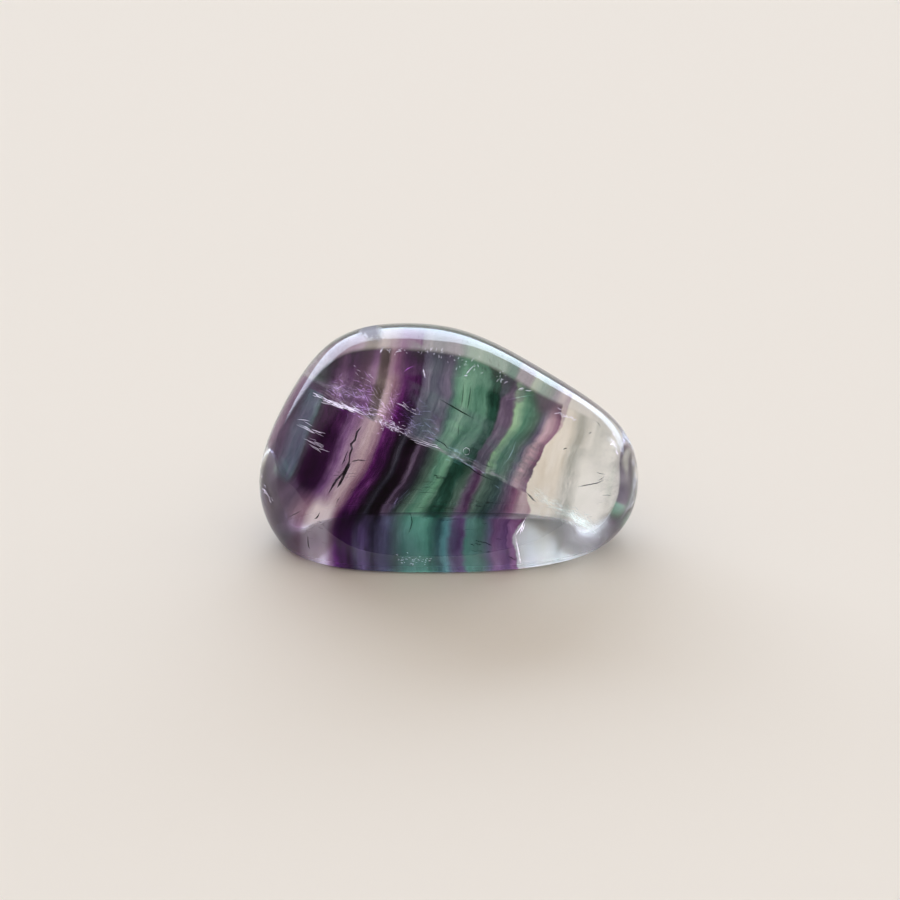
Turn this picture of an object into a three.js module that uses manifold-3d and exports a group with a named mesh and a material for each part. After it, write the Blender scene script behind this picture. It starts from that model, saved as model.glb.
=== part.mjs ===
// A tumbled, polished pebble of banded fluorite, made as the one solid that it is.
// The pebble is a rounded body, egg-shaped along its leaning girdle and elliptical across it,
// worn nearly flat in front and behind, and cut level underneath, where it rests.
// Lengths are in millimetres and angles in degrees. +X is to the right, +Y to the back, +Z up.
import * as THREE from "three";
import { mergeVertices } from "three/addons/utils/BufferGeometryUtils.js";
import Module from "manifold-3d";

// The girdle is the widest outline of the pebble. Its plane holds the X axis and leans back.
// The centre is the point that all the distances below are measured from.
const CENTRE_HEIGHT = 8.3;
const GIRDLE_LEAN = 28;
const HALF_THICKNESS = 7.8;

// How far the girdle reaches from the centre towards each side, going round from the right end.
const GIRDLE_SIDES = [
  { side: "right end", angle: 0, reach: 15.8 },
  { side: "right shoulder", angle: 30, reach: 13.4 },
  { side: "long slope", angle: 60, reach: 7.9 },
  { side: "crown", angle: 90, reach: 8.4 },
  { side: "left crown", angle: 120, reach: 11.5 },
  { side: "left brow", angle: 150, reach: 12.2 },
  { side: "left end", angle: 180, reach: 16.1 },
  { side: "left heel", angle: 210, reach: 17.0 },
  { side: "left foot", angle: 240, reach: 16.0 },
  { side: "foot", angle: 270, reach: 12.6 },
  { side: "right foot", angle: 300, reach: 14.6 },
  { side: "right heel", angle: 330, reach: 20.2 },
];
const GIRDLE_TIGHTNESS = 9;

// The worn flats: the way each faces, up from level, and its distance from the centre.
const FRONT_FLAT = { faces: -90, rises: 17, distance: 5.85 };
const BACK_FLAT = { faces: 90, rises: -11, distance: 4.55 };
const EDGE_TIGHTNESS = 45;

// Squares along each edge of the cube that is blown up into the pebble.
const CUBE_DIVISIONS = 22;

// The block that is taken away below the resting face, larger than the pebble every way.
const CUT_WIDTH = 60;
const CUT_HEIGHT = 30;

const STONE_COLOUR = 0x5d5a66;
const STONE_ROUGHNESS = 0.05;

const radians = THREE.MathUtils.degToRad;

const girdleUp = new THREE.Vector3(0, Math.sin(radians(GIRDLE_LEAN)), Math.cos(radians(GIRDLE_LEAN)));
const girdleFront = new THREE.Vector3(0, -girdleUp.z, girdleUp.y);

// The outward normal of a flat, as a unit vector.
function facing({ faces, rises }) {
  const level = Math.cos(radians(rises));
  return new THREE.Vector3(
    level * Math.cos(radians(faces)),
    level * Math.sin(radians(faces)),
    Math.sin(radians(rises)),
  );
}

// How far the girdle reaches at an angle round it: the sides' straight lines, blended.
function girdleReach(angle) {
  let sum = 0;
  for (const { angle: middle, reach } of GIRDLE_SIDES) {
    const nearness = Math.max(0, Math.cos(angle - radians(middle))) / reach;
    sum += nearness ** GIRDLE_TIGHTNESS;
  }
  return sum ** (-1 / GIRDLE_TIGHTNESS);
}

// How far the rounded body reaches from the centre: an ellipse across the girdle.
function bodyReach(direction) {
  const across = direction.x;
  const along = direction.dot(girdleUp);
  const round = Math.hypot(across, along) / girdleReach(Math.atan2(along, across));
  return 1 / Math.hypot(round, direction.dot(girdleFront) / HALF_THICKNESS);
}

const flats = [FRONT_FLAT, BACK_FLAT].map((flat) => ({
  normal: facing(flat),
  distance: flat.distance,
}));

// How far the pebble's surface lies from its centre: the body and the flats, blended where
// they meet.
function surfaceReach(direction) {
  let sum = bodyReach(direction) ** -EDGE_TIGHTNESS;
  for (const { normal, distance } of flats) {
    sum += (Math.max(0, direction.dot(normal)) / distance) ** EDGE_TIGHTNESS;
  }
  return sum ** (-1 / EDGE_TIGHTNESS);
}

// Leaves only the positions of a closed geometry, with its shared corners merged.
function merged(geometry) {
  geometry.deleteAttribute("normal");
  geometry.deleteAttribute("uv");
  return mergeVertices(geometry);
}

// A cube of small squares, its vertices moved out to the pebble's surface.
function wornBody() {
  const divisions = CUBE_DIVISIONS;
  const geometry = merged(new THREE.BoxGeometry(2, 2, 2, divisions, divisions, divisions));
  const position = geometry.getAttribute("position");
  const direction = new THREE.Vector3();
  const evenly = (share) => Math.tan((share * Math.PI) / 4);
  for (let i = 0; i < position.count; i++) {
    direction.fromBufferAttribute(position, i);
    direction.set(evenly(direction.x), evenly(direction.y), evenly(direction.z)).normalize();
    direction.multiplyScalar(surfaceReach(direction));
    position.setXYZ(i, direction.x, direction.y, direction.z + CENTRE_HEIGHT);
  }
  return geometry;
}

// The block below the level of the resting face.
function blockBelow() {
  const block = merged(new THREE.BoxGeometry(CUT_WIDTH, CUT_WIDTH, CUT_HEIGHT));
  return block.translate(0, 0, -CUT_HEIGHT / 2);
}

// Takes one closed geometry away from another.
async function cutAway(geometry, tool) {
  const wasm = await Module();
  wasm.setup();
  const solid = ({ attributes, index }) =>
    new wasm.Manifold(
      new wasm.Mesh({
        numProp: 3,
        vertProperties: new Float32Array(attributes.position.array),
        triVerts: new Uint32Array(index.array),
      }),
    );
  const mesh = solid(geometry).subtract(solid(tool)).getMesh();
  const result = new THREE.BufferGeometry();
  result.setAttribute("position", new THREE.BufferAttribute(mesh.vertProperties, mesh.numProp));
  result.setIndex(new THREE.BufferAttribute(mesh.triVerts, 1));
  result.computeVertexNormals();
  return result;
}

// Stands the geometry on Z = 0 with the middle of its box over the origin.
function centreOnBase(geometry) {
  geometry.computeBoundingBox();
  const { min, max } = geometry.boundingBox;
  return geometry.translate(-(min.x + max.x) / 2, -(min.y + max.y) / 2, -min.z);
}

const fluorite = new THREE.MeshStandardMaterial({
  color: STONE_COLOUR,
  roughness: STONE_ROUGHNESS,
  metalness: 0,
});

const stone = new THREE.Mesh(centreOnBase(await cutAway(wornBody(), blockBelow())), fluorite);
stone.name = "stone";

const part = new THREE.Group();
part.add(stone);

export default part;
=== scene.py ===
# A tumbled pebble of banded fluorite, resting on a pale floor under a soft window.
# Lengths are in millimetres until they reach Blender, which takes metres.
import math
import random

import bpy
import numpy as np
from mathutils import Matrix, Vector
from mathutils.bvhtree import BVHTree


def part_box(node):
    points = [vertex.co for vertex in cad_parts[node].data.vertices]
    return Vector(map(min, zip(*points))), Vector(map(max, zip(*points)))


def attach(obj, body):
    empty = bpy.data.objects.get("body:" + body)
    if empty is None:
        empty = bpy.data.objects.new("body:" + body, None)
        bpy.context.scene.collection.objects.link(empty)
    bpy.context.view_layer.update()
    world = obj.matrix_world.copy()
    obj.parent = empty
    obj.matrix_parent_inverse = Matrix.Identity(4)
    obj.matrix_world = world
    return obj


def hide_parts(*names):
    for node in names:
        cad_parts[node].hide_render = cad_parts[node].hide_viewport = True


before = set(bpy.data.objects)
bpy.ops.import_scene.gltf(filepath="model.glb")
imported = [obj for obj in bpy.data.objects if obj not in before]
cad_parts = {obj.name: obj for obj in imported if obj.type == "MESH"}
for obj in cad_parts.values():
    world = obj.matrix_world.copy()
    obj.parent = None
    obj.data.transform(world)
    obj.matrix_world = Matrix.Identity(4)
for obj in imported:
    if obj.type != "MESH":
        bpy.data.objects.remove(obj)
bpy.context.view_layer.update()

MM = 0.001

# The pebble's own shape, in the words of the CAD source: a leaning girdle, an elliptical
# rounding across it, and two worn flats. Angles are in degrees.
CENTRE_HEIGHT = 8.3
GIRDLE_LEAN = 28
HALF_THICKNESS = 7.8
GIRDLE_STEP = 30
GIRDLE_REACHES = (15.8, 13.4, 7.9, 8.4, 11.5, 12.2, 16.1, 17.0, 16.0, 12.6, 14.6, 20.2)
GIRDLE_TIGHTNESS = 9
EDGE_TIGHTNESS = 45
FRONT_FLAT = (-90, 17, 5.85)
BACK_FLAT = (90, -11, 4.55)
BASE_FLAT = (0, -90, 8.45)

# The squares along each edge of the cube that the stone's mesh is drawn from, and how strongly
# fluorite bends light.
CUBE_DIVISIONS = 118
FLUORITE_IOR = 1.434

# The camera: the photo's angle, so that the photo's pixels are rays of that camera. Its lens,
# sensor and distances are in mm.
PHOTO_SIDE = 900
CAMERA_LENS = 120
SENSOR_WIDTH = 36
CAMERA_RISE = 28
CAMERA_DISTANCE = 236
CAMERA_AIM = (0.10, 1.33, 6.41)
CAMERA_CLIP = 5


def direction_of(azimuth, elevation):
    """The unit vector that points that way round from +X and that way up from level."""
    turn, rise = math.radians(azimuth), math.radians(elevation)
    level = math.cos(rise)
    return np.array((level * math.cos(turn), level * math.sin(turn), math.sin(rise)))


def surface_reach(directions):
    """How far the worn surface lies from the pebble's centre along each unit vector."""
    lean = math.radians(GIRDLE_LEAN)
    along = directions @ np.array((0, math.sin(lean), math.cos(lean)))
    through = directions @ np.array((0, -math.cos(lean), math.sin(lean)))
    across = directions[:, 0]
    angle = np.arctan2(along, across)
    sides = np.radians(np.arange(len(GIRDLE_REACHES)) * GIRDLE_STEP)
    near = np.maximum(0, np.cos(angle[:, None] - sides)) / np.array(GIRDLE_REACHES)
    girdle = (near**GIRDLE_TIGHTNESS).sum(1) ** (-1 / GIRDLE_TIGHTNESS)
    body = np.hypot(np.hypot(across, along) / girdle, through / HALF_THICKNESS)
    total = body**EDGE_TIGHTNESS
    for azimuth, elevation, distance in (FRONT_FLAT, BACK_FLAT, BASE_FLAT):
        near = np.maximum(0, directions @ direction_of(azimuth, elevation)) / distance
        total += near**EDGE_TIGHTNESS
    reach = total ** (-1 / EDGE_TIGHTNESS)
    return np.minimum(reach, CENTRE_HEIGHT / np.maximum(1e-9, -directions[:, 2]))


def cube_sphere(divisions):
    """Unit vectors on a cube of small squares, and the squares' corners as indices."""
    steps = np.tan(np.linspace(-math.pi / 4, math.pi / 4, divisions + 1))
    index, points, squares = {}, [], []

    def corner(axis, side, i, j):
        place = [0, 0, 0]
        place[axis] = side * divisions
        place[(axis + 1) % 3] = 2 * i - divisions
        place[(axis + 2) % 3] = 2 * j - divisions
        key = tuple(place)
        if key not in index:
            index[key] = len(points)
            point = [0, 0, 0]
            point[axis] = side
            point[(axis + 1) % 3] = steps[i]
            point[(axis + 2) % 3] = steps[j]
            points.append(point)
        return index[key]

    for axis in range(3):
        for side in (-1, 1):
            for i in range(divisions):
                for j in range(divisions):
                    ring = [(i, j), (i + 1, j), (i + 1, j + 1), (i, j + 1)]
                    square = [corner(axis, side, *place) for place in ring]
                    squares.append(square if side > 0 else square[::-1])
    points = np.array(points, float)
    return points / np.linalg.norm(points, axis=1)[:, None], squares


def fit_to_node(points, node):
    """The points moved and very slightly scaled, so that their box is the CAD node's box."""
    low, high = (np.array(corner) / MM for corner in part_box(node))
    own_low, own_high = points.min(0), points.max(0)
    return low + (points - own_low) * (high - low) / (own_high - own_low)


def mesh_object(name, points, faces, smooth=True):
    """A new object of that mesh, its points given in millimetres."""
    mesh = bpy.data.meshes.new(name)
    mesh.from_pydata((np.asarray(points, float) * MM).tolist(), [], faces)
    mesh.validate()
    mesh.update()
    if smooth:
        mesh.shade_smooth()
    else:
        mesh.shade_flat()
    made = bpy.data.objects.new(name, mesh)
    bpy.context.scene.collection.objects.link(made)
    return made


class Nodes:
    """Short names for making a material's nodes."""

    def __init__(self, tree):
        self.tree = tree

    def add(self, kind, **settings):
        """A new node of that kind, with those settings."""
        node = self.tree.nodes.new(kind)
        for name, value in settings.items():
            setattr(node, name, value)
        return node

    def feed(self, socket, value):
        """Links the value to the socket if it is a socket too, and sets it there if not."""
        if isinstance(value, bpy.types.NodeSocket):
            self.tree.links.new(value, socket)
        else:
            socket.default_value = value

    def math(self, operation, a, b=0.0, c=0.0):
        """The result of one math node."""
        node = self.add("ShaderNodeMath", operation=operation)
        for socket, value in zip(node.inputs, (a, b, c)):
            self.feed(socket, value)
        return node.outputs[0]

    def line(self, value, slope, start):
        """value * slope + start."""
        return self.math("MULTIPLY_ADD", value, slope, start)

    def minus(self, a, b):
        """a - b."""
        return self.math("SUBTRACT", a, b)

    def sum(self, *terms):
        """a * b + c * d + ... of (a, b) pairs."""
        total = 0.0
        for value, share in terms:
            total = self.line(value, share, total)
        return total

    def product(self, first, *others):
        """first * second * third ..."""
        for other in others:
            first = self.math("MULTIPLY", first, other)
        return first

    def step(self, value, low, high):
        """0 up to low, 1 from high on, and smooth between. Low may be the greater one."""
        node = self.add("ShaderNodeMapRange", interpolation_type="SMOOTHSTEP")
        for socket, given in zip(node.inputs, (value, low, high)):
            self.feed(socket, given)
        return node.outputs[0]

    def split(self, vector):
        """The vector's x, y and z."""
        node = self.add("ShaderNodeSeparateXYZ")
        self.feed(node.inputs[0], vector)
        return tuple(node.outputs)

    def vector(self, x, y, z):
        """The vector of those x, y and z."""
        node = self.add("ShaderNodeCombineXYZ")
        for socket, value in zip(node.inputs, (x, y, z)):
            self.feed(socket, value)
        return node.outputs[0]

    def noise(self, vector, scale, detail, roughness=0.5):
        """Noise from about -1 to 1."""
        node = self.add("ShaderNodeTexNoise")
        self.feed(node.inputs["Vector"], vector)
        self.feed(node.inputs["Scale"], scale)
        self.feed(node.inputs["Detail"], detail)
        self.feed(node.inputs["Roughness"], roughness)
        return self.line(node.outputs[0], 2.0, -1.0)

    def pattern(self, across, up, level, scale, detail, roughness):
        """Noise over a plane, cut through it at that level."""
        return self.noise(self.vector(across, up, level), scale, detail, roughness)

    def blend(self, share, a, b):
        """a where share is 0, b where it is 1."""
        return self.line(share, self.minus(b, a), a)

    def power(self, colour, exponent):
        """The colour as that many times its thickness of crystal would tint light."""
        node = self.add("ShaderNodeGamma")
        self.feed(node.inputs[0], colour)
        self.feed(node.inputs[1], exponent)
        return node.outputs[0]

    def mix(self, share, a, b, blend="MIX"):
        """Colour a where share is 0, b where it is 1."""
        node = self.add("ShaderNodeMix", data_type="RGBA", blend_type=blend)
        self.feed(node.inputs[0], share)
        self.feed(node.inputs[6], a)
        self.feed(node.inputs[7], b)
        return node.outputs[2]

    def ramp(self, value, stops, low, high):
        """A colour ramp whose stops stand at places between low and high."""
        node = self.add("ShaderNodeValToRGB")
        share = self.line(value, 1 / (high - low), -low / (high - low))
        self.feed(node.inputs[0], share)
        elements = node.color_ramp.elements
        elements.remove(elements[-1])
        for i, (place, colour) in enumerate(stops):
            spot = (place - low) / (high - low)
            element = elements[0] if i == 0 else elements.new(spot)
            element.position = spot
            element.color = colour
        return node.outputs[0]

    def curve(self, value, points, low, high, reach):
        """A smooth curve through points (value, result), for results from -reach to reach."""
        node = self.add("ShaderNodeFloatCurve")
        share = self.line(value, 1 / (high - low), -low / (high - low))
        self.feed(node.inputs["Value"], share)
        line = node.mapping.curves[0]
        spots = [((at - low) / (high - low), 0.5 + 0.5 * result / reach) for at, result in points]
        while len(line.points) < len(spots):
            line.points.new(0.5, 0.5)
        for point, spot in zip(line.points, spots):
            point.location = spot
        node.mapping.update()
        return self.line(node.outputs[0], 2 * reach, -reach)


def srgb(code):
    """A six-digit sRGB code as a linear colour."""
    channels = [int(code[i : i + 2], 16) / 255 for i in (0, 2, 4)]
    linear = [c / 12.92 if c <= 0.04045 else ((c + 0.055) / 1.055) ** 2.4 for c in channels]
    return (*linear, 1.0)


def new_material(name):
    """A material of that name, its nodes and its shader."""
    material = bpy.data.materials.new(name)
    material.use_nodes = True
    return material, Nodes(material.node_tree), material.node_tree.nodes["Principled BSDF"]


# The colours of the bands.
BLACK_PURPLE = srgb("1c081f")
NIGHT_VIOLET = srgb("301034")
DEEP_VIOLET = srgb("3b1443")
MAGENTA = srgb("5e2266")
PLUM = srgb("6c4b71")
CRIMSON = srgb("8a5f80")
VIOLET_GREY = srgb("6f6580")
PINK_MAUVE = srgb("a08096")
PINK_BEIGE = srgb("cdb9c2")
ROSE = srgb("d9c0cc")
LILAC = srgb("8b6796")
SLATE = srgb("656a7b")
DARK_SLATE = srgb("3c3b48")
DARK_MAUVE = srgb("4a3a50")
GREY_GREEN = srgb("5f786e")
LIME_GREEN = srgb("a6cca8")
BRIGHT_GREEN = srgb("88b69f")
LEAF_GREEN = srgb("679583")
DARK_GREEN = srgb("244c40")
TEAL = srgb("7ba2a4")
DARK_TEAL = srgb("3f5559")
MAUVE = srgb("6e5f78")
BROWN_GREY = srgb("5e5352")
CREAM = srgb("f1ebe1")
SMOKE = srgb("b6b8b3")
PALE_SMOKE = srgb("dededc")
CLEAR = srgb("fbfcf9")
PALE_PINK = srgb("f1e7ea")
LEFT_TEAL = srgb("84ccb6")

# The colours of what crosses the bands.
# Painted shade: greys the foot of the clear end.
FOOT_CLEAR_SHADE = srgb("c5c8c5")
# The grey of the mottling near the right rim.
RIM_GREY = srgb("8b8e8b")
PLUM_CLOUD = srgb("5b4358")
# Painted shade: the darker colour where the graze breaks the upper edge's shine.
GRAZE_SHADE_COLOUR = srgb("6d6275")
THIN_COLOUR = srgb("b3b0ac")

# Where each band's colour stands along the stone, in mm: above the old fracture, below it,
# in the foot of the stone, partly as a painted reflection of the bands in the base, and in the clear end.
BAND_SPAN = (-18, 16)
UPPER_BANDS = (
    (-13.9, LEFT_TEAL),
    (-12.6, GREY_GREEN),
    (-12.0, DARK_SLATE),
    (-11.5, DEEP_VIOLET),
    (-10.8, PLUM),
    (-10.2, DEEP_VIOLET),
    (-9.0, PLUM),
    (-8.35, LILAC),
    (-8.0, BROWN_GREY),
    (-7.5, BROWN_GREY),
    (-7.2, PINK_BEIGE),
    (-6.6, PINK_MAUVE),
    (-6.0, MAGENTA),
    (-5.2, DEEP_VIOLET),
    (-4.7, DEEP_VIOLET),
    (-4.5, VIOLET_GREY),
    (-3.6, SLATE),
    (-2.4, VIOLET_GREY),
    (-1.8, LEAF_GREEN),
    (-1.2, BRIGHT_GREEN),
    (-0.4, LEAF_GREEN),
    (0.5, LEAF_GREEN),
    (0.9, DARK_GREEN),
    (1.5, DARK_GREEN),
    (1.8, MAUVE),
    (2.8, MAUVE),
    (3.0, LIME_GREEN),
    (3.7, LEAF_GREEN),
    (4.5, GREY_GREEN),
    (5.1, VIOLET_GREY),
    (5.6, ROSE),
    (6.5, CRIMSON),
)
LOWER_BANDS = (
    (-13.8, VIOLET_GREY),
    (-13.0, LEFT_TEAL),
    (-12.2, LEFT_TEAL),
    (-11.9, DARK_SLATE),
    (-11.5, NIGHT_VIOLET),
    (-10.6, NIGHT_VIOLET),
    (-9.7, DEEP_VIOLET),
    (-8.9, LILAC),
    (-7.3, PINK_BEIGE),
    (-6.6, PINK_MAUVE),
    (-6.2, MAGENTA),
    (-5.4, DEEP_VIOLET),
    (-4.9, BLACK_PURPLE),
    (-4.4, DARK_SLATE),
    (-4.1, BLACK_PURPLE),
    (-3.4, BLACK_PURPLE),
    (-3.05, MAUVE),
    (-2.8, DARK_MAUVE),
    (-2.4, DARK_SLATE),
    (-1.6, GREY_GREEN),
    (-1.1, LEAF_GREEN),
    (-0.4, BRIGHT_GREEN),
    (0.1, DARK_GREEN),
    (1.0, DARK_GREEN),
    (1.6, GREY_GREEN),
    (2.0, MAUVE),
    (2.5, PLUM),
    (2.9, GREY_GREEN),
    (4.3, DARK_TEAL),
    (5.2, MAUVE),
    (5.9, CRIMSON),
    (6.5, PINK_BEIGE),
)
# Partly painted reflection: the bands as the base mirrors them, seen in the foot.
FOOT_BANDS_AND_REFLECTION = (
    (-14.6, VIOLET_GREY),
    (-12.5, MAUVE),
    (-10.8, MAUVE),
    (-9.2, PINK_MAUVE),
    (-8.4, PALE_PINK),
    (-7.2, PALE_PINK),
    (-6.7, PINK_MAUVE),
    (-6.4, MAGENTA),
    (-5.9, DEEP_VIOLET),
    (-5.2, DEEP_VIOLET),
    (-4.8, DARK_SLATE),
    (-4.2, VIOLET_GREY),
    (-3.5, DARK_SLATE),
    (-2.4, SLATE),
    (-1.7, GREY_GREEN),
    (-1.0, LEAF_GREEN),
    (0.4, LEAF_GREEN),
    (1.2, DARK_TEAL),
    (1.7, TEAL),
    (2.1, MAUVE),
    (2.8, PLUM),
    (3.1, LEAF_GREEN),
    (4.2, GREY_GREEN),
    (4.9, MAUVE),
    (5.3, CRIMSON),
    (6.3, PLUM),
    (6.5, CRIMSON),
)
CLEAR_END = (
    (6.8, CREAM), (8.5, CREAM), (9.3, SMOKE), (9.6, SMOKE),
    (10.4, CLEAR), (12.4, CLEAR), (12.9, PALE_SMOKE), (13.5, CLEAR),
)

# From here on, a pair is where a smooth change starts and is complete, a span is where a curve
# starts and ends, and a reach is its greatest result.

# How the bands lie: their planes run into the stone along the sight line of the photo as the
# stone bends it, and lean over by these distances at these heights, all in mm. The left side's
# lean gives way to the right side's along LEAN_CHANGE.
PLANE_DROP = 0.464
PLANE_FAN = 0.0033
LEAN_SPAN = (-8, 20)
LEAN_REACH = 5
LEFT_LEAN = (
    (-5, -2.3), (0, -2.6), (1.8, -2.2), (3.1, -1.6),
    (5.7, 0), (8.3, 0.9), (11.8, 2.2), (16, 3),
)
RIGHT_LEAN = (
    (-5, -1.3), (0.5, -1.65), (1.4, -1.6), (2.1, -1.17),
    (4.0, -0.55), (5.7, 0), (7.4, 0.7), (8.3, 1.3),
    (9.2, 1.85), (11.8, 2.34), (16, 2.6),
)
LEAN_CHANGE = (-5.0, 3.0)

# A pattern is one slice of noise: its level, scale, detail and roughness. The bands wobble and
# are jagged by so many mm on the left and on the right.
WOBBLE = (0.0, 0.35, 1.0, 0.5)
WOBBLE_REACHES = (0.15, 0.4)
JAG = (0.0, 1.6, 2.0, 0.5)
JAG_STRETCH = 0.25
JAG_REACHES = (0.05, 0.25)

# The streaks along the bands: the pattern of each kind, how much of the height it follows and
# its share. Then how strong the colours are: what the streaks add, without them, and at least.
STREAKS = (
    ((0.0, 2.2, 4.0, 0.7), 0.05, 0.9),
    ((5.0, 8.0, 2.0, 0.6), 0.12, 0.3),
    ((3.0, 0.9, 4.0, 0.65), 0.4, 1.1),
)
STREAK_STRENGTH = 0.6
PLAIN_STRENGTH = 1.15
LEAST_STRENGTH = 0.3

# The old fracture: the height where it crosses the middle, how it falls to the right, and the
# pale scuffed edge along it.
FRACTURE_HEIGHT = 6.9
FRACTURE_FALL = 0.52
FRACTURE_WOBBLE = 0.25
FRACTURE_BLUR = (-0.05, 0.12)
SCUFF = (2.0, 2.0, 3.0, 0.5)
SCUFF_STRETCH = 0.5
SCUFF_SQUEEZE = 3.0
SCUFF_CLOUD = (-0.35, 0.5)
SCUFF_START = (-0.08, 0.05)
SCUFF_END = (0.9, 0.1)
SCUFF_HAZE = 0.75
SCUFF_COLOUR = srgb("a9a3b4")

# The clouds over the fracture: the slab, which ends at that height over it, and the lilac veil
# over the dark end.
CLOUD = (1.0, 0.5, 4.0, 0.65)
CLOUD_SQUEEZE = 3.0
SLAB_TOP = (4.95, 4.65)
SLAB_FROM = (-4.0, -1.5)
SLAB_CLOUD = (-0.5, 0.4)
SLAB_HAZE = 0.5
SLAB_COLOUR = srgb("6c8286")
VEIL_ENDS = (-4.0, -7.0)
VEIL_REACH = (3.3, 0.8)
VEIL_CLOUD = (-0.35, 0.55)
VEIL_HAZE = 0.65
VEIL_COLOUR = srgb("a592b6")

# The foot of the stone, where the colours are partly a painted reflection of the bands in the base:
# its upper line by places along the stone and heights, how blurred that line is on the right and on
# the left, and how much stronger the colours are below it.
SIDE_SPAN = (-16, 16)
FOOT_LINE = ((-16, 7.5), (-13.2, 5.4), (-10.6, 3.4), (-8, 2.15), (-3.8, 1.75), (16, 1.75))
FOOT_LINE_REACH = 10
FOOT_BLURS = (0.1, 0.9)
FOOT_BLUR_ENDS = (-6.0, -8.5)
FOOT_STRENGTH = 0.3

# Painted shade that darkens the bands under the upper ridge, and the plum cloud where the last band meets
# that ridge.
RIDGE = (
    (-16, 8), (-11.6, 12.2), (-9.9, 14), (-8.1, 15.5), (-5.7, 16.1),
    (-0.7, 16.1), (2.4, 15.5), (5.6, 13.5), (8.7, 11.4), (16, 5),
)
RIDGE_REACH = 20
RIDGE_SHADE = (2.2, 0.0)
RIDGE_SHADE_STRENGTH = 1.1
PLUM_RISE = (9.9, 11.2)
PLUM_FROM = (6.4, 7.4)

# The clear end: where it starts along the bands and how its edge bulges with height, how much
# its smoke leans with the bands, where painted shade greys its foot, and the grey mottling near
# the right rim.
CLEAR_FROM = (6.67, 6.83)
CLEAR_EDGE = (
    (-5, 0.3), (-1.6, 0.15), (0, 0.05), (1.6, 0.7),
    (2.6, 0.5), (3.4, 0.15), (4.2, 0), (16, 0),
)
CLEAR_EDGE_SPAN = (-5, 16)
CLEAR_EDGE_REACH = 2
CLEAR_LEAN = 0.5
CLEAR_SMOKE = (7.0, 0.9, 4.0, 0.65)
CLEAR_SMOKE_STRETCH = 0.25
CLEAR_SMOKE_STRENGTH = 1.6
CLEAR_STRENGTH = 0.9
CLEAR_FOOT_SHADE_ENDS = (9.2, 7.2)
RIM_MOTTLE = (9.0, 0.8, 5.0, 0.7)
RIM_MOTTLE_CLOUD = (-0.3, 0.5)
RIM_MOTTLE_FROM = (10.6, 13.2)
RIM_MOTTLE_HAZE = 0.7

# How deeply the stone's surface tints the light that crosses it: more in front than behind,
# with the change between two places in mm, and less at the thin edges, which are found by the
# way that the surface faces.
TINT_PLACES = (-6.0, 5.0)
FRONT_TINT, BACK_TINT = 1.4, 0.6
THIN_FRONT = (-0.32, -0.24)
THIN_BACK = (0.5, 0.2)
THIN_UP = (-0.3, 0.1)
THIN_HAZE = 0.7
THIN_PALER = 0.72

# Where the skin is worn dull instead of polished, in mm: the foot, the base that the stone rests
# on, the right rim, and, very slightly, all of the skin that faces neither front nor back.
FOOT_ROUGHNESS = 0.32
FOOT_DULL = (1.7, 0.3)
BASE_ROUGHNESS = 0.5
BASE_DULL = (0.2, 0.03)
RIM_ROUGHNESS = 0.1
RIM_DULL = (10.0, 12.5)
EDGE_ROUGHNESS = 0.05
EDGE_TURN = (0.3, 0.6)

# The small graze that breaks the upper edge's shine: its pattern and how ragged that makes it
# both ways, its ends along the stone and behind, two points of its lower line, and its dullness.
GRAZE = (4.0, 3.5, 4.0, 0.7)
GRAZE_RAGGED = (0.7, 0.5)
GRAZE_FROM, GRAZE_TO = (-7.9, -6.5), (-5.0, -5.7)
GRAZE_BACK = (5.6, 4.2)
GRAZE_LOW = ((-7.6, 17.5), (-5.6, 16.6))
GRAZE_BLUR = (-0.3, 0.3)
GRAZE_ROUGHNESS = 0.42
PLAIN_SPECULAR, GRAZE_SPECULAR = 0.5, 0.0


class Spot:
    """Where a point of the stone lies, as a material's sockets, in mm."""

    def __init__(self, nodes):
        place = nodes.add("ShaderNodeTexCoord").outputs["Object"]
        self.x, self.y, self.z = (nodes.product(way, 1 / MM) for way in nodes.split(place))
        self.facing = nodes.split(nodes.add("ShaderNodeNewGeometry").outputs["Normal"])
        self.height = nodes.sum((self.y, PLANE_DROP), (self.z, 1.0))
        self.across = nodes.product(self.x, nodes.line(self.y, -PLANE_FAN, 1.0))
        self.wobble = nodes.pattern(self.across, self.height, *WOBBLE)
        self.along = along_bands(nodes, self)
        self.fracture = over_fracture(nodes, self)
        self.in_foot = in_foot(nodes, self)
        self.in_graze = in_graze(nodes, self)


def along_bands(nodes, spot):
    """How far along the stone the bands are at a point, with their lean and wobble undone."""
    rough_side = nodes.step(spot.across, *LEAN_CHANGE)
    left = nodes.curve(spot.height, LEFT_LEAN, *LEAN_SPAN, LEAN_REACH)
    right = nodes.curve(spot.height, RIGHT_LEAN, *LEAN_SPAN, LEAN_REACH)
    jag = nodes.pattern(nodes.product(spot.across, JAG_STRETCH), spot.height, *JAG)
    along = nodes.minus(spot.across, nodes.blend(rough_side, left, right))
    along = nodes.line(spot.wobble, nodes.blend(rough_side, *WOBBLE_REACHES), along)
    return nodes.line(jag, nodes.blend(rough_side, *JAG_REACHES), along)


def over_fracture(nodes, spot):
    """How high a point lies over the old fracture."""
    leant = nodes.sum((spot.height, 1.0), (spot.across, FRACTURE_FALL), (spot.wobble, FRACTURE_WOBBLE))
    return nodes.minus(leant, FRACTURE_HEIGHT)


def in_foot(nodes, spot):
    """1 below the foot's upper line, and 0 above it."""
    line = nodes.curve(spot.across, FOOT_LINE, *SIDE_SPAN, FOOT_LINE_REACH)
    blur = nodes.blend(nodes.step(spot.across, *FOOT_BLUR_ENDS), *FOOT_BLURS)
    return nodes.step(nodes.minus(spot.height, line), blur, nodes.product(blur, -1.0))


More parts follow.
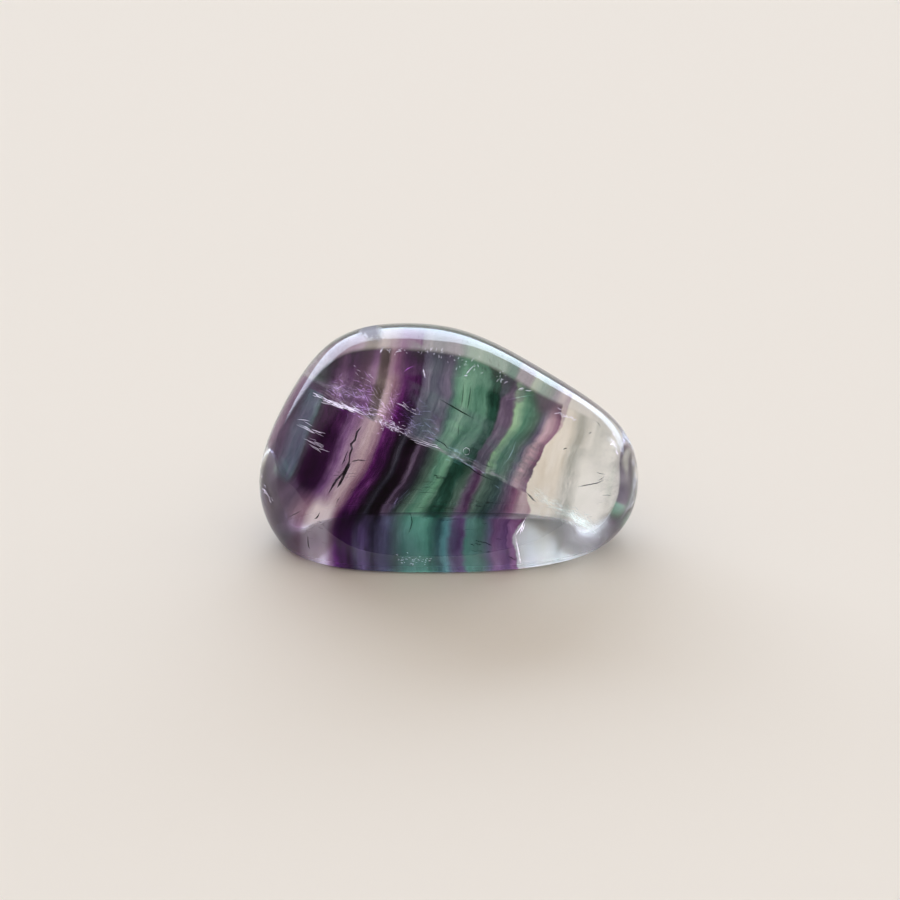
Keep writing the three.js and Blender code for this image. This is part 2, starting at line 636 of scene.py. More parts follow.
def in_graze(nodes, spot):
    """1 in the small graze across the upper edge, and 0 elsewhere."""
    ragged = nodes.pattern(spot.x, spot.height, *GRAZE)
    x = nodes.line(ragged, GRAZE_RAGGED[0], spot.x)
    height = nodes.line(ragged, GRAZE_RAGGED[1], spot.height)
    (left, left_height), (right, right_height) = GRAZE_LOW
    slope = (right_height - left_height) / (right - left)
    low = nodes.line(x, slope, left_height - left * slope)
    return nodes.product(
        nodes.step(nodes.minus(height, low), *GRAZE_BLUR),
        nodes.step(x, *GRAZE_FROM),
        nodes.step(spot.y, *GRAZE_BACK),
        nodes.step(x, *GRAZE_TO),
    )


def upper_colour(nodes, spot):
    """The bands over the old fracture, behind the clouded slab and the veil."""
    colour = nodes.ramp(spot.along, UPPER_BANDS, *BAND_SPAN)
    slanted = nodes.sum((spot.height, CLOUD_SQUEEZE), (spot.across, FRACTURE_FALL * CLOUD_SQUEEZE))
    cloud = nodes.pattern(spot.across, slanted, *CLOUD)
    slab = nodes.product(
        nodes.step(spot.fracture, *SLAB_TOP),
        nodes.step(cloud, *SLAB_CLOUD),
        nodes.step(spot.across, *SLAB_FROM),
    )
    veil = nodes.product(
        nodes.step(spot.across, *VEIL_ENDS),
        nodes.step(spot.fracture, *VEIL_REACH),
        nodes.step(cloud, *VEIL_CLOUD),
    )
    colour = nodes.mix(nodes.product(slab, SLAB_HAZE), colour, SLAB_COLOUR)
    return nodes.mix(nodes.product(veil, VEIL_HAZE), colour, VEIL_COLOUR)


def scuffed(nodes, spot, colour):
    """The colour, paler along the scuffed edge of the old fracture."""
    across = nodes.product(spot.across, SCUFF_STRETCH)
    over = nodes.product(spot.fracture, SCUFF_SQUEEZE)
    edge = nodes.product(
        nodes.step(spot.fracture, *SCUFF_START),
        nodes.step(spot.fracture, *SCUFF_END),
        nodes.step(nodes.pattern(across, over, *SCUFF), *SCUFF_CLOUD),
    )
    return nodes.mix(nodes.product(edge, SCUFF_HAZE), colour, SCUFF_COLOUR)


def band_strength(nodes, spot):
    """How strong the bands' colours are: streaky, stronger under the ridge as painted shade, and in the
    foot.
    """
    terms = []
    for pattern, stretch, share in STREAKS:
        drawn_out = nodes.product(spot.height, stretch)
        terms.append((nodes.pattern(spot.along, drawn_out, *pattern), share))
    streaks = nodes.sum(*terms)
    # Painted shade: the colours are made stronger, and so darker, just under the upper ridge.
    ridge = nodes.curve(spot.across, RIDGE, *SIDE_SPAN, RIDGE_REACH)
    shade = nodes.step(nodes.minus(ridge, spot.height), *RIDGE_SHADE)
    strength = nodes.line(streaks, STREAK_STRENGTH, PLAIN_STRENGTH)
    strength = nodes.line(shade, RIDGE_SHADE_STRENGTH, strength)
    strength = nodes.line(spot.in_foot, FOOT_STRENGTH, strength)
    return nodes.math("MAXIMUM", strength, LEAST_STRENGTH)


def in_clear_end(nodes, spot):
    """1 past the last band, and 0 before it."""
    bulge = nodes.curve(spot.height, CLEAR_EDGE, *CLEAR_EDGE_SPAN, CLEAR_EDGE_REACH)
    return nodes.step(nodes.minus(spot.along, bulge), *CLEAR_FROM)


def clear_colour(nodes, spot):
    """The smoky and nearly clear crystal past the last band, with painted shade in its foot and grey
    mottling near the right rim.
    """
    place = nodes.blend(CLEAR_LEAN, spot.across, spot.along)
    colour = nodes.ramp(place, CLEAR_END, *BAND_SPAN)
    smoke = nodes.pattern(place, nodes.product(spot.height, CLEAR_SMOKE_STRETCH), *CLEAR_SMOKE)
    strength = nodes.line(smoke, CLEAR_SMOKE_STRENGTH, CLEAR_STRENGTH)
    colour = nodes.power(colour, strength)
    # Painted shade: the foot of the clear end is greyed.
    foot = nodes.product(spot.in_foot, nodes.step(spot.across, *CLEAR_FOOT_SHADE_ENDS))
    colour = nodes.mix(foot, colour, FOOT_CLEAR_SHADE, "MULTIPLY")
    # Grey mottling, darker near the right rim.
    rim_mottle = nodes.step(nodes.pattern(spot.across, spot.height, *RIM_MOTTLE), *RIM_MOTTLE_CLOUD)
    rim_mottle = nodes.product(rim_mottle, nodes.step(spot.x, *RIM_MOTTLE_FROM), RIM_MOTTLE_HAZE)
    return nodes.mix(rim_mottle, colour, RIM_GREY)


def thinned(nodes, spot, colour):
    """The colour as that much crystal tints the light, paler at the thin edges."""
    thin = nodes.product(
        nodes.step(spot.facing[1], *THIN_FRONT),
        nodes.step(spot.facing[1], *THIN_BACK),
        nodes.step(spot.facing[2], *THIN_UP),
    )
    colour = nodes.mix(nodes.product(thin, THIN_HAZE), colour, THIN_COLOUR)
    tint = nodes.blend(nodes.step(spot.y, *TINT_PLACES), FRONT_TINT, BACK_TINT)
    paler = nodes.line(thin, -THIN_PALER, 1.0)
    return nodes.power(colour, nodes.product(tint, paler))


def band_colour(nodes, spot):
    """The colour at a point of the stone, from where the point lies alone: the crystal's bands with
    painted shade, and in the foot partly a painted reflection.
    """
    lower = nodes.ramp(spot.along, LOWER_BANDS, *BAND_SPAN)
    # Partly painted reflection: the foot's colours stand in for the bands mirrored by the base.
    foot = nodes.ramp(spot.along, FOOT_BANDS_AND_REFLECTION, *BAND_SPAN)
    over = nodes.step(spot.fracture, *FRACTURE_BLUR)
    colour = nodes.mix(over, lower, upper_colour(nodes, spot))
    colour = nodes.mix(spot.in_foot, colour, foot)
    colour = scuffed(nodes, spot, colour)
    colour = nodes.power(colour, band_strength(nodes, spot))
    plum = nodes.product(nodes.step(spot.height, *PLUM_RISE), nodes.step(spot.across, *PLUM_FROM))
    colour = nodes.mix(plum, colour, PLUM_CLOUD)
    colour = nodes.mix(in_clear_end(nodes, spot), colour, clear_colour(nodes, spot))
    colour = thinned(nodes, spot, colour)
    # Painted shade: the graze darkens the colour where the shine breaks.
    return nodes.mix(spot.in_graze, colour, GRAZE_SHADE_COLOUR)


def skin_roughness(nodes, spot):
    """How dull the skin is at a point, where no graze crosses it."""
    rough = nodes.product(nodes.step(spot.z, *FOOT_DULL), FOOT_ROUGHNESS)
    base = nodes.product(nodes.step(spot.z, *BASE_DULL), BASE_ROUGHNESS)
    rim = nodes.product(nodes.step(spot.x, *RIM_DULL), RIM_ROUGHNESS)
    turned = nodes.step(nodes.math("ABSOLUTE", spot.facing[1]), *EDGE_TURN)
    edge = nodes.blend(turned, EDGE_ROUGHNESS, 0.0)
    for other in (base, rim, edge):
        rough = nodes.math("MAXIMUM", rough, other)
    return rough


def fluorite_material():
    """See-through banded crystal, tinted and dulled by where each point of the stone lies."""
    material, nodes, shader = new_material("fluorite")
    spot = Spot(nodes)
    roughness = nodes.blend(spot.in_graze, skin_roughness(nodes, spot), GRAZE_ROUGHNESS)
    specular = nodes.blend(spot.in_graze, PLAIN_SPECULAR, GRAZE_SPECULAR)
    shader.inputs["Transmission Weight"].default_value = 1.0
    shader.inputs["IOR"].default_value = FLUORITE_IOR
    nodes.feed(shader.inputs["Base Color"], band_colour(nodes, spot))
    nodes.feed(shader.inputs["Roughness"], roughness)
    nodes.feed(shader.inputs["Specular IOR Level"], specular)
    return material


# Dents and bends of the polished surface: a photo pixel where each one shows, its width and
# length, how its length is turned from upright, and its depth. Then the depth and the waves of
# a faint ripple. They fade out below that height. Sizes are in mm and turns in degrees.
DENTS = (
    ((268, 492), 0.22, 0.6, -25, 0.07),
    ((272, 500), 0.15, 0.4, -25, 0.06),
    ((318, 380), 2.6, 3.5, 40, 0.05),
    ((560, 400), 2.4, 3.0, -55, 0.05),
)
RIPPLE_DEPTH = 0.02
RIPPLE_WAVES = ((0.9, 0.35, 0.5), (-0.4, 0.8, 0.7), (0.5, -0.6, 0.9))
PLAIN_BELOW = 1.0


def camera_axes():
    """The camera's right, up and forward directions."""
    back = direction_of(-90, CAMERA_RISE)
    right = np.array((1.0, 0.0, 0.0))
    return right, np.cross(back, right), -back


def sight_ray(pixel):
    """Where the camera stands and the direction in which it sees that pixel of the photo."""
    right, up, forward = camera_axes()
    focal = CAMERA_LENS / SENSOR_WIDTH * PHOTO_SIDE
    x, y = pixel
    aside, above = (x - PHOTO_SIDE / 2) / focal, (PHOTO_SIDE / 2 - y) / focal
    ray = forward + aside * right + above * up
    return np.array(CAMERA_AIM) - forward * CAMERA_DISTANCE, ray / np.linalg.norm(ray)


def bent_into_stone(ray, normal):
    """The ray's direction after it crosses the surface, by Snell's law."""
    facing = -float(ray @ normal)
    ratio = 1 / FLUORITE_IOR
    inner = math.sqrt(1 - ratio**2 * (1 - facing**2))
    return ratio * ray + (ratio * facing - inner) * normal


def surface_at(tree, pixel):
    """The surface point at that pixel, and the sight line's direction inside the stone."""
    start, ray = sight_ray(pixel)
    place, normal = tree.ray_cast(Vector(start), Vector(ray))[:2]
    return np.array(place), bent_into_stone(ray, np.array(normal))


def inside(tree, pixel, depth):
    """The point that the photo shows at that pixel, that deep in the stone."""
    place, inward = surface_at(tree, pixel)
    return place + inward * depth


def with_dents(points, squares):
    """The points with the dents and a faint ripple pressed inwards."""
    tree = BVHTree.FromPolygons(points.tolist(), squares)
    right, up, forward = camera_axes()
    centre = np.array((0, 0, CENTRE_HEIGHT)) + (points.min(0) + points.max(0)) / 2 * (1, 1, 0)
    inward = centre - points
    inward /= np.linalg.norm(inward, axis=1)[:, None]
    wave = sum(np.sin(points @ np.array(way) + i) for i, way in enumerate(RIPPLE_WAVES))
    press = RIPPLE_DEPTH * (1 + wave / len(RIPPLE_WAVES))
    for pixel, width, length, turn, depth in DENTS:
        offset = points - surface_at(tree, pixel)[0]
        slope = math.radians(turn)
        aside = offset @ (right * math.cos(slope) - up * math.sin(slope))
        along = offset @ (right * math.sin(slope) + up * math.cos(slope))
        deep = offset @ forward
        press += depth * np.exp(-((aside / width) ** 2) - (along / length) ** 2 - (deep / length) ** 2)
    keep = np.clip(points[:, 2] / PLAIN_BELOW, 0, 1)
    return points + inward * (press * keep)[:, None]


class InnerMesh:
    """Thin closed blades inside the stone or on its skin, gathered to be one mesh."""

    def __init__(self, tree):
        self.tree = tree
        self.points, self.faces = [], []

    def blade(self, line, width, thickness):
        """A blade along the points, pointed at both ends, its flat side to the camera."""
        forward = camera_axes()[2]
        first = len(self.points)
        rings = len(line) - 2
        self.points.append(line[0])
        for before, here, after in zip(line, line[1:], line[2:]):
            heading = after - before
            aside = np.cross(heading, forward)
            aside /= np.linalg.norm(aside)
            deep = np.cross(aside, heading)
            deep /= np.linalg.norm(deep)
            self.points += [
                here + aside * width / 2,
                here + deep * thickness / 2,
                here - aside * width / 2,
                here - deep * thickness / 2,
            ]
        self.points.append(line[-1])
        last = len(self.points) - 1
        for side in range(4):
            here, there = first + 1 + side, first + 1 + (side + 1) % 4
            self.faces.append((first, there, here))
            for ring in range(rings - 1):
                step = 4 * ring
                self.faces.append((here + step, there + step, there + step + 4, here + step + 4))
            end = 4 * (rings - 1)
            self.faces.append((here + end, there + end, last))

    def object(self, name, material):
        """One mesh of the blades, none of them past the stone's box."""
        low, high = (np.array(corner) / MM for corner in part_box("stone"))
        made = mesh_object(name, np.clip(self.points, low, high), self.faces, smooth=False)
        made.data.materials.append(material)
        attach(made, "root")
        return made


# Bright slivers: where a swarm starts and ends in the photo, how far they stray from that line
# in pixels, how many, their length range in pixels, their slope in degrees down to the right,
# how much the slope varies, and their width in mm. Then the depths of both kinds in mm, what
# the widths are multiplied by, the thickness in mm, each sliver's parts, and how many pixels
# the parts of slivers and of hairs stray.
SKIN_SWARMS = (
    ((322, 399), (359, 412), 1.3, 40, (6, 18), 24, 6, 0.045),
    ((330, 402), (350, 409), 1.0, 14, (8, 16), 22, 4, 0.06),
    ((312, 393), (325, 399), 0.8, 8, (5, 10), 30, 8, 0.04),
    ((382, 421), (404, 431), 3.0, 60, (2, 6), 30, 40, 0.028),
    ((399, 402), (413, 411), 1.4, 9, (5, 12), 28, 4, 0.028),
    ((299, 424), (322, 432), 2.0, 11, (7, 18), 22, 5, 0.03),
    ((309, 441), (328, 450), 2.4, 12, (6, 16), 28, 6, 0.028),
    ((352, 371), (376, 382), 3.0, 7, (3, 8), 32, 10, 0.02),
    ((416, 441), (436, 447), 0.8, 6, (12, 20), 17, 2, 0.03),
    ((432, 352), (480, 366), 4.0, 30, (1, 3.5), 40, 90, 0.026),
    ((376, 349), (432, 351), 1.5, 20, (1, 4), -5, 60, 0.024),
    ((497, 372), (505, 383), 2.0, 14, (1, 4), 50, 60, 0.03),
    ((520, 389), (529, 390), 0.6, 4, (4, 7), 5, 10, 0.045),
    ((558, 412), (569, 417), 1.2, 10, (4, 9), 12, 14, 0.05),
    ((571, 418), (577, 420), 0.5, 4, (3, 5), 0, 10, 0.045),
    ((263, 486), (271, 501), 1.4, 14, (2, 6), 60, 15, 0.045),
    ((398, 559), (430, 562), 2.5, 40, (0.8, 2.5), 0, 20, 0.028),
)
DEEP_SWARMS = (
    ((345, 385), (390, 420), 10.0, 120, (3, 12), 28, 24, 0.026),
    ((330, 385), (350, 395), 5.0, 30, (2, 8), 20, 30, 0.024),
    ((385, 398), (425, 425), 8.0, 60, (3, 11), 30, 24, 0.02),
    ((388, 508), (407, 494), 2.0, 16, (3, 10), -58, 6, 0.022),
    ((430, 432), (470, 460), 6.0, 22, (4, 14), 30, 6, 0.016),
    ((610, 435), (618, 452), 2.5, 8, (2, 6), 60, 30, 0.06),
    ((450, 455), (500, 482), 2.5, 18, (4, 12), 29, 5, 0.022),
)
SKIN_DEPTH = (-0.006, 0.004)
DEEP_DEPTH = (0.25, 1.2)
SLIVER_WIDTHS = (0.5, 1.2)
SLIVER_THICKNESS = 0.03
SLIVER_PARTS = 4
SLIVER_JITTER, HAIR_JITTER = 0.25, 0.3
SLIVER_SEED = 5
LINE_THICKNESS = 0.04

# Single bright lines on the skin and deeper in, white with a painted glint: their photo points,
# width and depth in mm. The last two on the skin are the ring of a small bubble, drawn as a
# painted highlight.
SKIN_LINES = (
    (((423, 367), (423.5, 371), (424.5, 375), (425.5, 379)), 0.11, 0.0),
    (((465, 375.5), (468, 372), (471, 368.5), (474, 365.5)), 0.09, 0.0),
    (((464, 375.5), (466, 375.8), (468, 375.5)), 0.12, 0.0),
    (((395, 353), (397, 351.6), (400, 351.2), (402, 351.5)), 0.08, 0.0),
    (((380, 353.5), (381, 351), (383, 349.5)), 0.12, 0.0),
    (((463, 453), (463.5, 449.5), (466, 447.5), (469, 449), (470, 452)), 0.022, 0.0),
    (((470, 451.5), (468.5, 454.5), (465.5, 454.8), (463.2, 452.5)), 0.016, 0.0),
)
DEEP_LINES = (
    (((404, 372), (407, 369), (411, 367), (415, 366)), 0.05, 0.8),
    (((526, 517), (523, 523), (520.5, 528), (517, 533), (515.7, 536)), 0.07, 0.5),
    (((515.7, 536), (516.5, 542), (517.8, 548), (519, 554), (520, 560), (521, 565)), 0.06, 0.4),
    (((523.5, 521), (522.5, 526), (521, 531), (519.5, 535)), 0.05, 0.6),
    (((525, 523), (523.5, 528), (521.5, 533)), 0.05, 0.6),
    (((505, 400), (518, 397.5), (530, 395.5), (540, 394.5)), 0.018, 0.6),
    (((516, 440), (513, 450), (509, 458), (503, 465)), 0.03, 0.6),
)

# Dark cracks: their photo points, greatest width, thickness into the stone and depth, in mm.
DARK_CRACKS = (
    (((362, 426), (357, 432), (355, 440), (351, 444), (352, 449), (350, 454), (348.8, 463)),
     0.16, 0.36, 0.5),
    (((350, 458), (348.8, 463), (343, 473.4), (336.6, 479.7), (332.8, 486), (327.7, 495)), 0.17, 0.4, 0.6),
    (((351, 463), (348, 467), (344.3, 474.6), (339.8, 483.6), (337, 488)), 0.2, 0.32, 0.5),
    (((349, 449), (346, 455), (344, 461), (341, 466)), 0.08, 0.2, 0.6),
    (((351, 462.5), (354, 461), (358, 460), (362, 460.3), (367, 461)), 0.09, 0.2, 0.5),
    (((340, 497), (338, 500), (336, 504)), 0.07, 0.12, 0.4),
    (((320, 512), (318, 516), (316.5, 518), (314, 519)), 0.1, 0.12, 0.4),
    (((302, 510), (297, 513), (291, 516), (285.6, 520)), 0.06, 0.12, 0.4),
    (((307.5, 534), (308, 540), (308.5, 546), (310, 550)), 0.08, 0.2, 0.4),
    (((410, 512), (411.5, 517), (412, 522), (410.5, 528), (408, 535)), 0.07, 0.24, 0.5),
    (((464, 382), (463, 392), (462, 402), (461, 408)), 0.05, 0.2, 0.5),
    (((471, 384), (470, 394), (468.5, 404), (467, 410)), 0.06, 0.2, 0.5),
    (((439, 399), (450, 405), (462, 412), (475, 419)), 0.1, 0.24, 0.7),
    (((459, 424), (458.5, 430), (458, 438)), 0.06, 0.16, 0.6),
    (((430, 437), (437, 440), (444, 444), (450, 451)), 0.09, 0.2, 0.7),
    (((457, 459), (467, 466), (478, 473.5), (487, 477.5), (496, 481.5)), 0.08, 0.36, 0.5),
    (((526, 492), (530, 496), (533, 499.5), (536, 502)), 0.12, 0.28, 0.5),
    (((577.5, 487), (584, 485.5), (590, 484.5), (597, 483), (604, 480)), 0.08, 0.24, 0.8),
    (((596, 472), (600, 473.5), (606, 474.5)), 0.05, 0.12, 0.8),
    (((597, 481), (601, 479), (605, 476)), 0.05, 0.12, 0.8),
    (((563, 449.5), (565, 448.5), (567.5, 448)), 0.1, 0.12, 0.8),
    (((588.5, 433.5), (590, 433), (592, 432)), 0.09, 0.12, 0.8),
    (((596, 421), (599, 424), (601, 428)), 0.05, 0.12, 0.6),
    (((507, 556), (512, 558), (517, 560.5)), 0.1, 0.12, 0.3),
    (((486, 457), (489, 461), (491, 466)), 0.06, 0.12, 0.6),
    (((601, 496), (607, 495), (613, 496)), 0.05, 0.12, 0.8),
    (((480, 462), (488, 466), (493, 468)), 0.06, 0.12, 0.6),
)

# Fine dark lines that cross the bands: the photo box that holds them, how many, their length
# range in pixels, their slope, and their width in mm. Then how much the slope varies, what the
# widths are multiplied by, and the thickness in mm.
HAIRLINE_SWARMS = (
    ((418, 474, 452, 520), 22, (7, 24), 2, 0.026),
    ((465, 470, 505, 545), 16, (5, 14), 3, 0.022),
    ((332, 470, 366, 508), 18, (6, 16), 6, 0.018),
    ((436, 470, 450, 480), 4, (4, 9), 8, 0.06),
    ((300, 520, 335, 545), 8, (3, 8), 10, 0.03),
    ((462, 358, 500, 380), 8, (2, 6), 60, 0.03),
    ((476, 500, 490, 508), 4, (5, 9), 8, 0.05),
    ((585, 500, 620, 520), 5, (5, 10), -25, 0.02),
    ((470, 540, 495, 552), 8, (3, 8), 15, 0.045),
)
HAIRLINE_VARY = 5
HAIRLINE_WIDTHS = (0.6, 1.3)
HAIRLINE_THICKNESS = 0.08
HAIRLINE_SEED = 8

# The white feather of the old fracture in the clear end: the line along which its hairs are
# strewn, with slopes about a middle one, and the core near which they are wider. Places and
# lengths are in pixels of the photo, depths and widths in mm.
FEATHER_START, FEATHER_END = (537, 494), (594, 529)
FEATHER_STRAY = 3.0
FEATHER_HAIRS = 260
FEATHER_SLOPES = (36, 16)
FEATHER_HALF_LENGTHS = (1.5, 6)
FEATHER_DEPTH = (0.8, 2.0)
FEATHER_WIDTHS = (0.01, 0.03)
FEATHER_CORE = (579, 519)
FEATHER_CORE_REACH = 9
FEATHER_CORE_WIDTH = 0.05
FEATHER_THICKNESS = 0.02
FEATHER_SEED = 11

# The look of what lies in the crystal: each kind's colour, how much its thin film covers and how
# brightly it glows as painted light, and then the film's fine grain and patches, by scale per metre and
# detail.
FLECK_WHITE_AND_GLINT, SKIN_COVER, SKIN_PAINTED_GLINT = srgb("e4def0"), 0.65, 0.6
SLIVER_WHITE_AND_GLINT, SLIVER_COVER, SLIVER_PAINTED_GLINT = srgb("e6def2"), 0.6, 1.8
FEATHER_WHITE_AND_GLOW, FEATHER_COVER, FEATHER_PAINTED_GLOW = srgb("eef6f7"), 0.3, 0.5
CRACK_DARK, CRACK_COVER = srgb("1c1416"), 0.8
FILM_ROUGHNESS = 0.4
FILM_FINE, FILM_FINE_SHARE = (2500.0, 3.0), 0.4
FILM_PATCHES, FILM_PATCHES_SHARE = (1300.0, 2.0), 0.9
FILM_LEAST = 0.1


def inner_material(name, colour, cover, painted_glow=0.0):
    """A thin film in the crystal: its colour, how much it covers, and its painted glow, which stands in
    for glints of light.
    """
    material, nodes, shader = new_material(name)
    place = nodes.add("ShaderNodeTexCoord").outputs["Object"]
    fine = nodes.line(nodes.noise(place, *FILM_FINE), FILM_FINE_SHARE, 1.0)
    patchy = nodes.noise(place, *FILM_PATCHES)
    alpha = nodes.line(patchy, FILM_PATCHES_SHARE, cover)
    alpha = nodes.math("MINIMUM", nodes.math("MAXIMUM", alpha, FILM_LEAST), 1.0)
    nodes.feed(shader.inputs["Base Color"], nodes.power(colour, fine))
    nodes.feed(shader.inputs["Alpha"], alpha)
    shader.inputs["Roughness"].default_value = FILM_ROUGHNESS
    # Painted glint: the film glows by itself, as if it caught the light, though it is no lamp.
    if painted_glow:
        shader.inputs["Emission Strength"].default_value = painted_glow
        shader.inputs["Emission Color"].default_value = colour
    return material


def point_near(start, end, share, stray, dice):
    """A photo point at that share of the way from start to end, and a little off the way."""
    x = start[0] + (end[0] - start[0]) * share + dice.gauss(0, stray)
    y = start[1] + (end[1] - start[1]) * share + dice.gauss(0, stray)
    return x, y


def uneven_line(tree, centre, slope, half_length, depth, jitter, dice):
    """Points of a sliver: about its centre in the photo, that many degrees down to the right."""
    angle = math.radians(slope)
    dx, dy = math.cos(angle) * half_length, math.sin(angle) * half_length
    start = (centre[0] - dx, centre[1] - dy)
    end = (centre[0] + dx, centre[1] + dy)
    line = []
    for i in range(SLIVER_PARTS + 1):
        stray = 0 if i in (0, SLIVER_PARTS) else jitter
        pixel = point_near(start, end, i / SLIVER_PARTS, stray, dice)
        line.append(inside(tree, pixel, depth))
    return line


def add_swarms(mesh, swarms, depths, dice):
    """Slivers of those swarms, each one strewn along its swarm's line."""
    for start, end, stray, count, lengths, slope, vary, width in swarms:
        for i in range(count):
            centre = point_near(start, end, dice.random(), stray, dice)
            turn, half_length = dice.gauss(slope, vary), dice.uniform(*lengths) / 2
            depth = dice.uniform(*depths)
            line = uneven_line(mesh.tree, centre, turn, half_length, depth, SLIVER_JITTER, dice)
            mesh.blade(line, width * dice.uniform(*SLIVER_WIDTHS), SLIVER_THICKNESS)


def add_lines(mesh, lines):
    """One blade for each of those single lines."""
    for line, width, depth in lines:
        mesh.blade([inside(mesh.tree, pixel, depth) for pixel in line], width, LINE_THICKNESS)


def make_skin_flecks(tree):
    """The bright flecks on the skin, which the crystal doesn't tint, white and with a painted glint."""
    flecks = InnerMesh(tree)
    add_swarms(flecks, SKIN_SWARMS, SKIN_DEPTH, random.Random(SLIVER_SEED))
    add_lines(flecks, SKIN_LINES)
    white = inner_material("fleck_white_and_glint", FLECK_WHITE_AND_GLINT, SKIN_COVER, SKIN_PAINTED_GLINT)
    return flecks.object("skin_flecks", white)


def make_slivers(tree):
    """The bright slivers a little deeper in the crystal, white and with a painted glint."""
    slivers = InnerMesh(tree)
    add_swarms(slivers, DEEP_SWARMS, DEEP_DEPTH, random.Random(SLIVER_SEED))
    add_lines(slivers, DEEP_LINES)
    white = inner_material("sliver_white_and_glint", SLIVER_WHITE_AND_GLINT, SLIVER_COVER, SLIVER_PAINTED_GLINT)
    return slivers.object("bright_slivers", white)


def make_cracks(tree):
    """The dark cracks, and the hairlines that cross the bands."""
    cracks = InnerMesh(tree)
    for line, width, thickness, depth in DARK_CRACKS:
        cracks.blade([inside(tree, pixel, depth) for pixel in line], width, thickness)
    dice = random.Random(HAIRLINE_SEED)
    for (left, top, right, bottom), count, lengths, slope, width in HAIRLINE_SWARMS:
        for i in range(count):
            centre = dice.uniform(left, right), dice.uniform(top, bottom)
            turn, half_length = dice.gauss(slope, HAIRLINE_VARY), dice.uniform(*lengths) / 2
            depth = dice.uniform(*DEEP_DEPTH)
            line = uneven_line(tree, centre, turn, half_length, depth, HAIR_JITTER, dice)
            cracks.blade(line, width * dice.uniform(*HAIRLINE_WIDTHS), HAIRLINE_THICKNESS)
    return cracks.object("dark_cracks", inner_material("crack_dark", CRACK_DARK, CRACK_COVER))


def make_feather(tree):
    """The white feather, which thickens towards its core, with a painted glow."""
    feather = InnerMesh(tree)
    dice = random.Random(FEATHER_SEED)
    for i in range(FEATHER_HAIRS):
        centre = point_near(FEATHER_START, FEATHER_END, dice.random(), FEATHER_STRAY, dice)
        near = math.exp(-math.dist(centre, FEATHER_CORE) / FEATHER_CORE_REACH)
        turn, half_length = dice.gauss(*FEATHER_SLOPES), dice.uniform(*FEATHER_HALF_LENGTHS)
        depth = dice.uniform(*FEATHER_DEPTH)
        line = uneven_line(tree, centre, turn, half_length, depth, HAIR_JITTER, dice)
        width = dice.uniform(*FEATHER_WIDTHS) + FEATHER_CORE_WIDTH * near
        feather.blade(line, width, FEATHER_THICKNESS)
    white = inner_material("feather_white_and_glow", FEATHER_WHITE_AND_GLOW, FEATHER_COVER, FEATHER_PAINTED_GLOW)
    return feather.object("white_feather", white)


def make_stone():
    """The pebble, and the tree of its surface that places what lies inside it."""
    directions, squares = cube_sphere(CUBE_DIVISIONS)
    points = directions * surface_reach(directions)[:, None]
    points[:, 2] = np.maximum(points[:, 2] + CENTRE_HEIGHT, 0)
    points = with_dents(fit_to_node(points, "stone"), squares)
    points = fit_to_node(points, "stone")
    stone = mesh_object("banded_stone", points, squares)
    stone.data.materials.append(fluorite_material())
    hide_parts("stone")
    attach(stone, "root")
    return BVHTree.FromPolygons(points.tolist(), squares)


# The floor: half its side and its drop under the stone, in mm, and its plain look.
FLOOR_HALF = 800
FLOOR_DROP = 0.02
FLOOR_COLOUR = (0.93, 0.85, 0.75, 1.0)
FLOOR_ROUGHNESS = 0.9
FLOOR_SPECULAR = 0.1


def make_floor():
    """The plain pale floor under the stone."""
    sides = (-FLOOR_HALF, FLOOR_HALF)
    corners = [(x, y, -FLOOR_DROP) for y in sides for x in sides]
    floor = mesh_object("floor", corners, [(0, 1, 3, 2)])
    material, nodes, shader = new_material("floor")
    shader.inputs["Base Color"].default_value = FLOOR_COLOUR
    shader.inputs["Roughness"].default_value = FLOOR_ROUGHNESS
    shader.inputs["Specular IOR Level"].default_value = FLOOR_SPECULAR
    floor.data.materials.append(material)


# The light: a soft pale room, dimmer low down in front, a long window in the wall behind, the
# ceiling over it, and a small lamp to the right. Places and heights on that wall are given as
# shares of its distance, and other places as a direction's own x, y or z. The lamp's direction
# is in degrees, and its edge is the cosine of the angle to it.
ROOM_LIGHT = (0.64, 0.61, 0.58, 1.0)
DIM_LIGHT = (0.14, 0.125, 0.12, 1.0)
DIM_TOP = (0.766, 0.4226)
DIM_FRONT = (-0.1, -0.6)
WINDOW_LIGHT = (4.4, 5.0, 5.9, 1.0)
WALL_BEHIND = (0.02, 0.06)
WINDOW_SILL, RIGHT_SILL = 0.17, 0.05
WINDOW_TOP, RIGHT_TOP = 0.84, 0.36
WINDOW_CHANGE = (0.0, 0.7)
WINDOW_LEFT, WINDOW_RIGHT = (-1.5, -1.2), (2.6, 1.8)
SILL_BLUR, TOP_BLUR = (-0.03, 0.03), (-0.05, 0.05)
CEILING_LIGHT = (0.8, 0.75, 0.72, 1.0)
CEILING_START, CEILING_STOP = (0.6561, 0.6961), (0.9435, 0.8835)
CEILING_BACK = (0.1, 0.35)
LAMP_LIGHT = (3.4, 3.7, 4.1, 1.0)
LAMP_TOWARD = (20, 13)
LAMP_EDGE = (0.9915, 0.9975)
LIGHT_BOUNCES = 24


def in_window(nodes, x, y, z):
    """1 in the directions of the long window, and 0 elsewhere."""
    distance = nodes.math("MAXIMUM", y, WALL_BEHIND[0])
    place = nodes.math("DIVIDE", x, distance)
    height = nodes.math("DIVIDE", z, distance)
    change = nodes.step(place, *WINDOW_CHANGE)
    over = nodes.minus(height, nodes.blend(change, WINDOW_SILL, RIGHT_SILL))
    under = nodes.minus(nodes.blend(change, WINDOW_TOP, RIGHT_TOP), height)
    return nodes.product(
        nodes.step(over, *SILL_BLUR),
        nodes.step(under, *TOP_BLUR),
        nodes.step(place, *WINDOW_LEFT),
        nodes.step(place, *WINDOW_RIGHT),
        nodes.step(y, *WALL_BEHIND),
    )


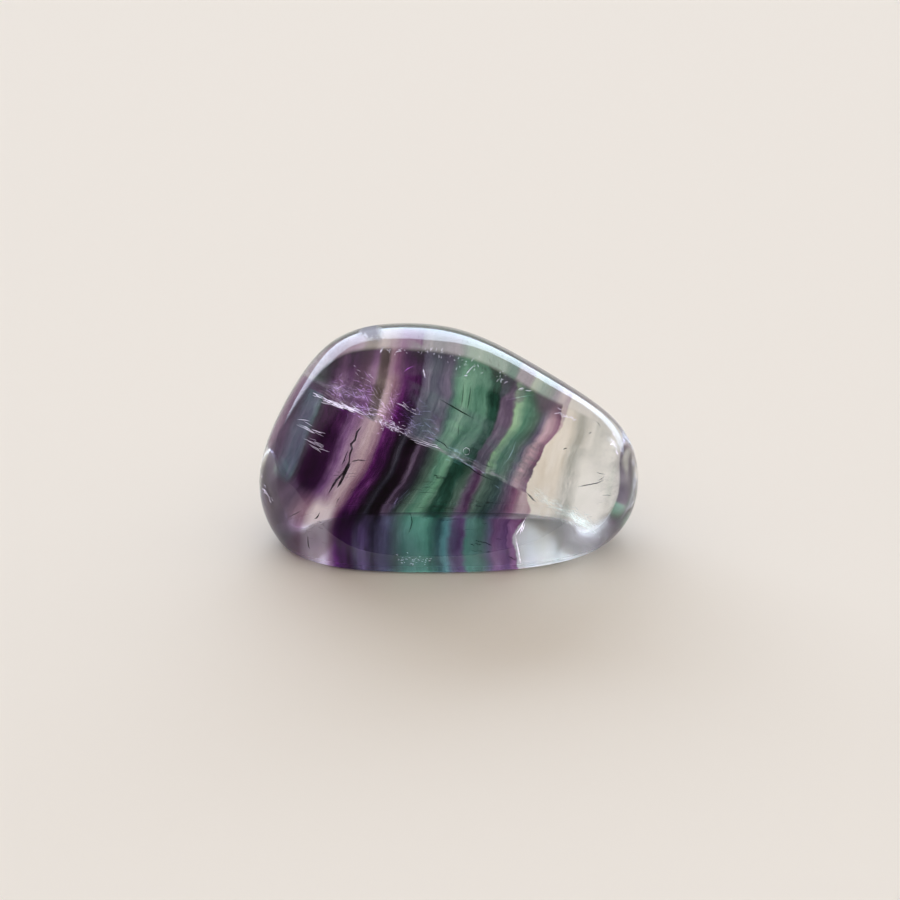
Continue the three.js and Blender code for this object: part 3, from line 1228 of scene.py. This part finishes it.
def room_colour(nodes, y, z):
    """The room's own light: dim low down in front, and with a pale ceiling behind."""
    dim = nodes.product(nodes.step(z, *DIM_TOP), nodes.step(y, *DIM_FRONT))
    ceiling = nodes.product(
        nodes.step(z, *CEILING_START),
        nodes.step(y, *CEILING_BACK),
        nodes.step(z, *CEILING_STOP),
    )
    room = nodes.mix(dim, ROOM_LIGHT, DIM_LIGHT)
    return nodes.mix(ceiling, room, CEILING_LIGHT)


def in_lamp(nodes, toward):
    """1 in the directions of the lamp, and 0 elsewhere."""
    likeness = nodes.add("ShaderNodeVectorMath", operation="DOT_PRODUCT")
    nodes.feed(likeness.inputs[0], toward)
    likeness.inputs[1].default_value = direction_of(*LAMP_TOWARD)
    return nodes.step(likeness.outputs["Value"], *LAMP_EDGE)


def make_light():
    """The world's light, by direction alone."""
    world = bpy.data.worlds.new("studio")
    world.use_nodes = True
    bpy.context.scene.world = world
    nodes = Nodes(world.node_tree)
    toward = nodes.add("ShaderNodeTexCoord").outputs["Generated"]
    x, y, z = nodes.split(toward)
    light = nodes.mix(in_lamp(nodes, toward), room_colour(nodes, y, z), LAMP_LIGHT)
    light = nodes.mix(in_window(nodes, x, y, z), light, WINDOW_LIGHT)
    nodes.feed(world.node_tree.nodes["Background"].inputs[0], light)


def make_camera():
    """The camera, at the photo's angle and distance."""
    camera = bpy.data.cameras.new("camera")
    camera.lens = CAMERA_LENS
    camera.sensor_width = SENSOR_WIDTH
    camera.clip_start = CAMERA_CLIP * MM
    holder = bpy.data.objects.new("camera", camera)
    bpy.context.scene.collection.objects.link(holder)
    back = Vector(direction_of(-90, CAMERA_RISE))
    holder.location = (Vector(CAMERA_AIM) + back * CAMERA_DISTANCE) * MM
    holder.rotation_mode = "QUATERNION"
    holder.rotation_quaternion = (-back).to_track_quat("-Z", "Y")
    bpy.context.scene.camera = holder


def set_light_paths():
    """Plain colours, and enough bounces for light to cross the crystal many times."""
    scene = bpy.context.scene
    scene.view_settings.view_transform = "Standard"
    scene.cycles.max_bounces = LIGHT_BOUNCES
    scene.cycles.glossy_bounces = LIGHT_BOUNCES
    scene.cycles.transmission_bounces = LIGHT_BOUNCES


make_camera()
make_light()
make_floor()
surface = make_stone()
make_skin_flecks(surface)
make_slivers(surface)
make_cracks(surface)
make_feather(surface)
set_light_paths()
